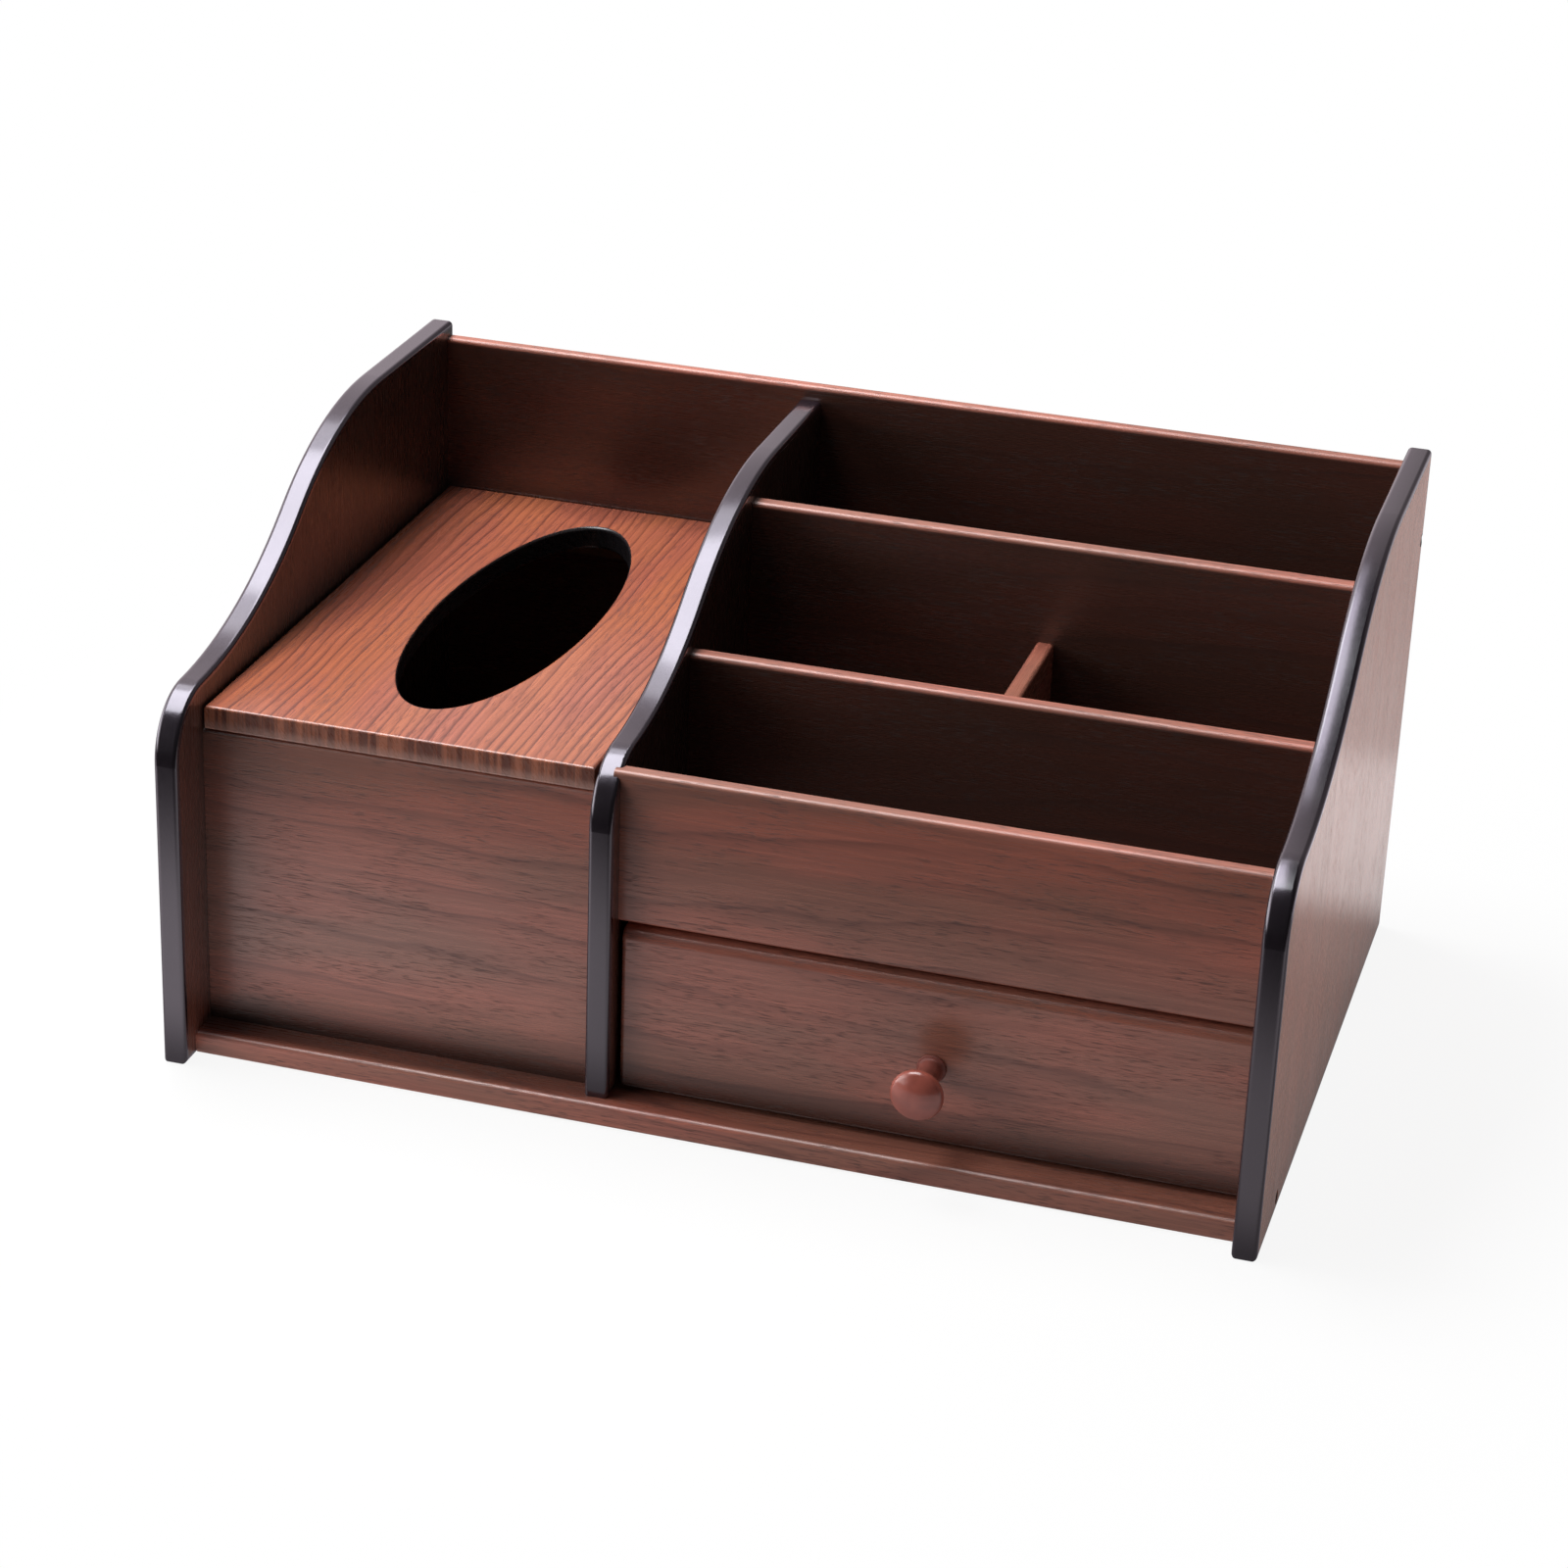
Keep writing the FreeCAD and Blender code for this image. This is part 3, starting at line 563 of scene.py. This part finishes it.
def fibreboard(name):
    """Brown hardboard: pressed fibres that lie in no direction."""
    finish = Finish(name)
    fine = finish.noise([p / 0.7 for p in finish.place], 4.0, 0.7)
    clouds = finish.noise([p / 25 for p in finish.place], 3.0)
    colour = finish.mix(clouds.ramp(0.35, 0.65), tone("7a4c38"), tone("825340"))
    colour = finish.mix(fine.ramp(0.45, 0.75) * 0.6, colour, tone("4a2c20"))
    return finish.surface(colour, fine * 0.2 + 0.5, finish.bump(fine, 0.10))


def dark_steel(name):
    """Blackened steel of the screws and brads."""
    finish = Finish(name)
    fine = finish.noise([p / 0.5 for p in finish.place], 3.0, 0.6)
    colour = finish.mix(fine, tone("3b3634"), tone("5a5552"))
    return finish.surface(colour, fine * 0.2 + 0.3, finish.bump(fine, 0.02), Metallic=1.0)


for node, seed in (("lid_rear_batten", 3.0), ("lid_locating_batten", 9.0)):
    dress(node, softwood(f"softwood_{node}", seed))
dress("drawer_floor", fibreboard("fibreboard"))
steel = dark_steel("screw_steel_dark")
fixings = [node for node in nodes if "screw" in node or "brads" in node]
for node in fixings:
    dress(node, steel)
print("sets of fixings:", len(fixings))

# %% [markdown]
# ## The knob
# The knob is turned on a lathe, and so is its surface here: a profile of radius and height, swept
# round the axis. The profile is a chain of arcs - foot, neck, hollow under the head, rim and domed
# face - worked out as one array of points, so that the whole knob is a single grid. The lacquer is
# glossy on the head and duller behind it, where a spray gun hardly reaches. Behind the head its
# colour is also darkened, and lighter again along the neck: that is painted shade.

# %% Turn a profile
def arc(centre, radius, start, end, count):
    """Points (radius, height) on an arc, with angles measured from the axis towards the outside."""
    angles = np.linspace(start, end, count)
    return np.stack([centre[0] + radius * np.sin(angles), centre[1] + radius * np.cos(angles)], 1)


def turned(name, profile, origin, axis, around=96):
    """Mesh of a profile turned about an axis.

    A point of the grid is origin + height * axis + radius * (cos t * side + sin t * other), with t
    going once round. The first and last points of the profile lie on the axis and become poles.
    """
    axis = np.array(axis, float)
    side = np.cross(axis, (0.0, 0.0, 1.0))
    side = side / np.linalg.norm(side)
    other = np.cross(axis, side)
    turn = np.arange(around) * 2 * np.pi / around
    ring = np.cos(turn)[:, None] * side + np.sin(turn)[:, None] * other
    inner = profile[1:-1]
    origin = np.array(origin, float)
    points = (origin + inner[:, None, 1:] * axis + inner[:, None, :1] * ring).reshape(-1, 3)
    poles = origin + profile[[0, -1], 1][:, None] * axis
    rows, step = np.arange(len(inner) - 1)[:, None] * around, np.arange(around)
    following = (step + 1) % around
    quads = np.stack([rows + step, rows + following,
                      rows + around + following, rows + around + step], -1)
    last = (len(inner) - 1) * around
    first_fan = np.stack([np.full(around, len(points)), following, step], 1)
    last_fan = np.stack([np.full(around, len(points) + 1), last + step, last + following], 1)
    mesh = bpy.data.meshes.new(name)
    faces = quads.reshape(-1, 4).tolist() + first_fan.tolist() + last_fan.tolist()
    mesh.from_pydata((np.concatenate([points, poles]) * MM).tolist(), [], faces)
    mesh.polygons.foreach_set("use_smooth", np.ones(len(mesh.polygons), bool))
    made = bpy.data.objects.new(name, mesh)
    bpy.context.scene.collection.objects.link(made)
    return made


print("three points of a quarter circle:", arc((0, 0), 1, 0, math.pi / 2, 3).round(2).tolist())

# %% The knob's profile
KNOB_FOOT = (71.3, -100.0, 35.5)      # where its axis meets the drawer front, mm
HEAD_R, NECK_R, FOOT_R, FOOT_T = 8.5, 3.5, 4.7, 0.8
REACH, DOME_R, RIM_R = 21.6, 16.0, 2.2
SOFTENED = 0.12       # corner of the foot, mm
rim_x = HEAD_R - RIM_R
dome_z = REACH - DOME_R
rim_z = dome_z + math.sqrt((DOME_R - RIM_R) ** 2 - rim_x ** 2)
rim_end = math.asin(rim_x / (DOME_R - RIM_R))
foot_hollow, head_hollow = FOOT_R - NECK_R, rim_x - NECK_R
profile = np.concatenate([
    [(0.0, 0.0), (FOOT_R * 0.5, 0.0), (FOOT_R - SOFTENED, 0.0), (FOOT_R, SOFTENED)],
    arc((FOOT_R, FOOT_T + foot_hollow), foot_hollow, math.pi, 1.5 * math.pi, 12),
    arc((rim_x, rim_z - RIM_R - head_hollow), head_hollow, -math.pi / 2, 0.0, 16),
    arc((rim_x, rim_z), RIM_R, math.pi, rim_end, 28)[1:],
    arc((0.0, dome_z), DOME_R, rim_end, 0.0, 24)[1:],
])
knob = turned("turned_knob", profile, KNOB_FOOT, (0.0, -1.0, 0.0))
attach(knob, "drawer")
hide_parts("drawer_knob")
print("knob:", len(profile), "points in the profile,", len(knob.data.polygons), "faces")

# %% Knob lacquer
BEHIND_HEAD = (-117.8, -115.6)       # y over which the head gives way to the neck, mm
ON_NECK = (-114.6, -112.6)           # y over which the painted shade behind the head eases off along the neck


def lacquer(name):
    """Red-brown sprayed lacquer with a faint orange peel."""
    finish = Finish(name)
    y = finish.place[1]
    peel = finish.noise([p / 1.3 for p in finish.place], 2.0)
    clouds = finish.noise([p / 6 for p in finish.place], 2.0)
    colour = finish.mix(clouds.ramp(0.35, 0.65), tone("bd6556"), tone("aa594b"))
    behind_head = y.ramp(*BEHIND_HEAD)
    # Painted shade: darkest just behind the head, lighter again along the neck
    colour = finish.mix(behind_head * 0.8 - y.ramp(*ON_NECK) * 0.4, colour, SHADE_TONE)
    roughness = peel * 0.08 + behind_head * 0.22 + 0.28
    return finish.surface(colour, roughness, finish.bump(peel, 0.03),
                          Coat_Weight=behind_head * -1.0 + 1.0, Coat_Roughness=0.14)


knob.data.materials.append(lacquer("knob_lacquer_red"))
print("finish of the knob:", knob.data.materials[0].name)

# %% [markdown]
# ## The table
# The box stands on a white table. A table does two jobs in a studio: it throws light back up on the
# fronts, and it is mirrored in their gloss. A plain white surface would do both at once, and the
# backdrop would then have to be overlit to look white. The Light Path node keeps the jobs apart: it
# tells the eye's rays from those of gloss and of bounced light, so each can be set by itself. For
# those rays the table glows, a painted light, with the box's shadow painted into the glow. The box
# mirrors the table as far as its front edge, and finds it dimmer in the shade beside the box.

# %% Floor
BELOW_BOX = 0.0001      # the table is this much lower than the underside of the box, m


def floor_disc(name, radius, around=96, rings=12):
    """Flat round table top: a polar grid, rings spaced closer together near the middle."""
    reach = radius * np.linspace(0, 1, rings + 1)[1:] ** 2
    turn = np.arange(around) * 2 * np.pi / around
    flat = np.stack([np.cos(turn), np.sin(turn)], 1)
    points = (reach[:, None, None] * flat).reshape(-1, 2)
    points = np.concatenate([points, [[0.0, 0.0]]])
    points = np.concatenate([points, np.full((len(points), 1), -BELOW_BOX)], 1)
    rows, step = np.arange(rings - 1)[:, None] * around, np.arange(around)
    following = (step + 1) % around
    quads = np.stack([rows + step, rows + around + step,
                      rows + around + following, rows + following], -1)
    fan = np.stack([np.full(around, len(points) - 1), step, following], 1)
    mesh = bpy.data.meshes.new(name)
    mesh.from_pydata(points.tolist(), [], quads.reshape(-1, 4).tolist() + fan.tolist())
    made = bpy.data.objects.new(name, mesh)
    bpy.context.scene.collection.objects.link(made)
    return made


floor = floor_disc("studio_floor", 6.0)
print("table top:", len(floor.data.polygons), "faces")

# %% How bright the table is
def mirrored(x, y):
    """How bright the table is where the boards mirror it, 0 to 1, at x and y in metres.

    The dims are painted light and shadow. Before the box it fades towards the right, and a painted
    shadow of the box lies close to its front. Beside the box a painted shadow dims it next to the
    front half; it is bright beside the back half, and fades a little towards the backdrop.
    """
    to_the_left, clear_of_front = x.ramp(0.05, -0.22), y.ramp(-0.118, -0.160)
    before = (to_the_left * 0.45 + 0.53) * (clear_of_front * 0.68 + 0.32)
    beside = y.ramp(0.05, 0.11) * 0.06 + y.ramp(0.112, 0.15) * 0.64
    beside = beside + y.ramp(0.15, 0.20) * 0.10 + 0.19
    past_box, far_back = y.ramp(0.245, 0.285), y.ramp(0.285, 0.45)
    beside = beside * (past_box * -0.40 + 1.0) * (far_back * -0.20 + 1.0)
    on_right = x.ramp(0.12, 0.16) * y.ramp(-0.13, -0.11)
    return (before * (on_right * -1.0 + 1.0) + beside * on_right) * 0.98


def thrown_back(x, y):
    """How much the table glows for bounced rays, a painted light, before the front and on the
    right.
    """
    to_the_left, near_front = x.ramp(0.15, -0.35), y.ramp(-0.32, -0.14)
    before = (to_the_left * 0.62 + 0.29) * (near_front * 0.8 + 0.4)
    return before * x.ramp(0.19, 0.17) + x.ramp(0.17, 0.45) * 1.6 + x.ramp(0.17, 0.19) * 0.3


def rays(tree, *outputs):
    """Outputs of one Light Path node: 1 for rays of that kind, 0 for the others."""
    paths = tree.nodes.new("ShaderNodeLightPath")
    return [Field(tree, paths.outputs[output]) for output in outputs]


def channels(tree, *parts):
    """Colour made of three fields or numbers."""
    node = tree.nodes.new("ShaderNodeCombineColor")
    for socket, part in zip(node.inputs, parts):
        feed(tree, socket, part)
    return node.outputs[0]


TABLE_END = -0.325                     # front edge of the white table, m
TABLE_TINT = (1.0, 0.955, 0.965)       # of its light on the box
SHADOW_REACH = (0.40, 0.22)            # from the middle of the table, m
print("the table ends", round(-TABLE_END - 0.12, 3), "m before the box")

# %% Table
def table_white(name, shadow_share):
    """White table: the eye sees plain white with a share of the real light, so the shadow stays.

    Reflections and bounced light find the table only as far as its front edge, TABLE_END.
    """
    material = bpy.data.materials.new(name)
    material.use_nodes = True
    tree = material.node_tree
    tree.nodes.clear()
    spot = tree.nodes.new("ShaderNodeTexCoord").outputs["Object"]
    length = tree.nodes.new("ShaderNodeVectorMath")
    length.operation = "LENGTH"
    tree.links.new(spot, length.inputs[0])
    split = tree.nodes.new("ShaderNodeSeparateXYZ")
    tree.links.new(spot, split.inputs[0])
    x, y, _ = [Field(tree, out) for out in split.outputs]
    camera_ray, through_glass, glossy, diffuse_ray = rays(
        tree, "Is Camera Ray", "Is Transmission Ray", "Is Glossy Ray", "Is Diffuse Ray")
    eye = camera_ray.math("MAXIMUM", through_glass)
    near = Field(tree, length.outputs["Value"]).ramp(*SHADOW_REACH)
    on_table = y.ramp(TABLE_END - 0.01, TABLE_END + 0.11)
    fill = diffuse_ray * y.ramp(-0.10, -0.12).math("MAXIMUM", x.ramp(0.17, 0.19))
    seen = mirrored(x, y) * (fill * -1.0 + 1.0) + fill * thrown_back(x, y)
    glow = tree.nodes.new("ShaderNodeEmission")
    feed(tree, glow.inputs["Strength"], (on_table * seen + 0.02).math("MAXIMUM", eye))
    tint = [eye * (1.0 - part) + part for part in TABLE_TINT]
    feed(tree, glow.inputs["Color"], channels(tree, *tint))
    diffuse = tree.nodes.new("ShaderNodeBsdfDiffuse")
    brightness = on_table.math("MAXIMUM", eye) * 0.95 + 0.03
    feed(tree, diffuse.inputs["Color"], channels(tree, brightness, brightness, brightness))
    blend = tree.nodes.new("ShaderNodeMixShader")
    white = eye * (near * -shadow_share + 1.0)
    feed(tree, blend.inputs[0], white.math("MAXIMUM", glossy).math("MAXIMUM", fill))
    tree.links.new(diffuse.outputs[0], blend.inputs[1])
    tree.links.new(glow.outputs[0], blend.inputs[2])
    output = tree.nodes.new("ShaderNodeOutputMaterial")
    tree.links.new(blend.outputs[0], output.inputs[0])
    return material


SHADOW_SHARE = 0.09                    # of the real light, near the box
floor.data.materials.append(table_white("table_white", SHADOW_SHARE))
print("share of real light on the table:", SHADOW_SHARE)

# %% [markdown]
# ## The room
# What the film's gloss shows is the room: a white backdrop behind, a dim room in front, and a pale
# wall low on the left. They could be built as large cards, but a formula for the world's light
# needs no meshes and throws no shadows. It reads the direction of each ray, as three parts that go
# from -1 to 1: side, back and height.

# %% World
BACKDROP, ROOM = 0.8, 0.032            # strength of the backdrop and of the dim room
SIDE_LIGHT, PALE_WALL = 3.3, 0.72      # low light on the left, and the wall that gloss finds there
WARMTH = 0.08                          # of the backdrop in reflections

# Directions over which each of these grows from nothing to its full strength
BEHIND = (0.0, 0.5)
BACKDROP_TOP, LEFT_TOP, WALL_TOP = (0.95, 0.75), (0.75, 0.35), (0.98, 0.90)
LEFT_EDGE, WALL_EDGE = (-0.45, -0.85), (-0.42, -0.62)

world = bpy.data.worlds.new("studio")
bpy.context.scene.world = world
world.use_nodes = True
tree = world.node_tree
tree.nodes.clear()
spot = tree.nodes.new("ShaderNodeTexCoord")
split = tree.nodes.new("ShaderNodeSeparateXYZ")
tree.links.new(spot.outputs["Generated"], split.inputs[0])
side, back, height = [Field(tree, out) for out in split.outputs]
camera_ray, through_glass, glossy = rays(
    tree, "Is Camera Ray", "Is Transmission Ray", "Is Glossy Ray")
behind = back.ramp(*BEHIND)
slant = (side * -1.45 + 0.32).math("MAXIMUM", 0.15).math("MINIMUM", 1.0)
backdrop = behind * height.ramp(*BACKDROP_TOP) * slant * BACKDROP
left = side.ramp(*LEFT_EDGE) * height.ramp(*LEFT_TOP) * (behind * -1.0 + 1.0) * SIDE_LIGHT
wall = glossy * side.ramp(*WALL_EDGE) * height.ramp(*WALL_TOP) * PALE_WALL
strength = (backdrop + left + ROOM).math("MAXIMUM", wall)
strength = strength.math("MAXIMUM", camera_ray.math("MAXIMUM", through_glass))
warmth = glossy * behind * WARMTH
background = tree.nodes.new("ShaderNodeBackground")
output = tree.nodes.new("ShaderNodeOutputWorld")
feed(tree, background.inputs["Strength"], strength)
warm_white = channels(tree, 1.0, warmth * -1.0 + 1.0, warmth * -1.1 + 1.0)
feed(tree, background.inputs["Color"], warm_white)
tree.links.new(background.outputs[0], output.inputs[0])
print("world nodes:", len(tree.nodes))

# %% [markdown]
# ## The lamps
# One large soft lamp hangs above the box, a little to its left. It lights the boards, and it is
# mirrored in their rims and in the paint. Here it is made of three area lamps, so that light and
# shine can be set apart: one only lights, and two are only mirrored, the second of them a dim strip
# where the first one fades out.

# %% Lamps
def softbox(name, place, target, size, watts):
    """Rectangular area lamp that faces the target."""
    data = bpy.data.lights.new(name, "AREA")
    data.shape = "RECTANGLE"
    data.size, data.size_y = size
    data.energy = watts
    lamp = bpy.data.objects.new(name, data)
    bpy.context.scene.collection.objects.link(lamp)
    lamp.location = place
    lamp.rotation_euler = (Vector(target) - Vector(place)).to_track_quat("-Z", "Y").to_euler()
    lamp.visible_camera = False
    return lamp


SHINE_TINT = (0.94, 0.97, 1.0)
shine = softbox("softbox_shine", (-0.45, -0.06, 1.30), (-0.45, -0.06, 0.0), (0.95, 0.98), 19.5)
shine.rotation_euler.z += math.radians(5)
fading = softbox("softbox_fading_edge", (-0.47, 0.59, 1.25), (-0.47, 0.59, 0.0), (0.95, 0.32), 2.3)
for lamp in (shine, fading):
    lamp.visible_diffuse = False
    lamp.data.color = SHINE_TINT
light = softbox("softbox_light", (-0.46, 0.13, 1.22), (-0.10, 0.05, 0.1), (0.70, 0.50), 17.5)
light.visible_glossy = False
for lamp in (shine, fading, light):
    print(lamp.name, round(lamp.data.energy, 1), "W")

# %% [markdown]
# ## The camera
# The camera stands to the right and looks down. Its place, its direction and its focal length
# belong together: from close by, a short lens would make the sides of the box run together, and
# from far away, a long one would flatten it. It could be aimed with a constraint; here its three
# axes are worked out from three angles, so that the slight roll is one of them.

# %% Camera
CAMERA_PLACE = (0.31353, -1.1360, 0.62305)
AZIMUTH, ELEVATION, ROLL = (math.radians(a) for a in (15.811, 24.863, 2.246))
camera_data = bpy.data.cameras.new("camera")
camera_data.sensor_width = 36.0
camera_data.lens = 89.756
camera = bpy.data.objects.new("camera", camera_data)
bpy.context.scene.collection.objects.link(camera)
ahead = Vector((-math.sin(AZIMUTH) * math.cos(ELEVATION), math.cos(AZIMUTH) * math.cos(ELEVATION),
                -math.sin(ELEVATION)))
level = Vector((math.cos(AZIMUTH), math.sin(AZIMUTH), 0.0))
upright = level.cross(ahead)
right = math.cos(ROLL) * level + math.sin(ROLL) * upright
up = math.cos(ROLL) * upright - math.sin(ROLL) * level
axes = Matrix((right, up, -ahead)).transposed().to_4x4()
camera.matrix_world = Matrix.Translation(CAMERA_PLACE) @ axes
camera_data.clip_start, camera_data.clip_end = 0.05, 50.0
bpy.context.scene.camera = camera
bpy.context.scene.view_settings.view_transform = "Standard"
print("camera", round(Vector(CAMERA_PLACE).length, 3), "m from the middle of the base")

# %% [markdown]
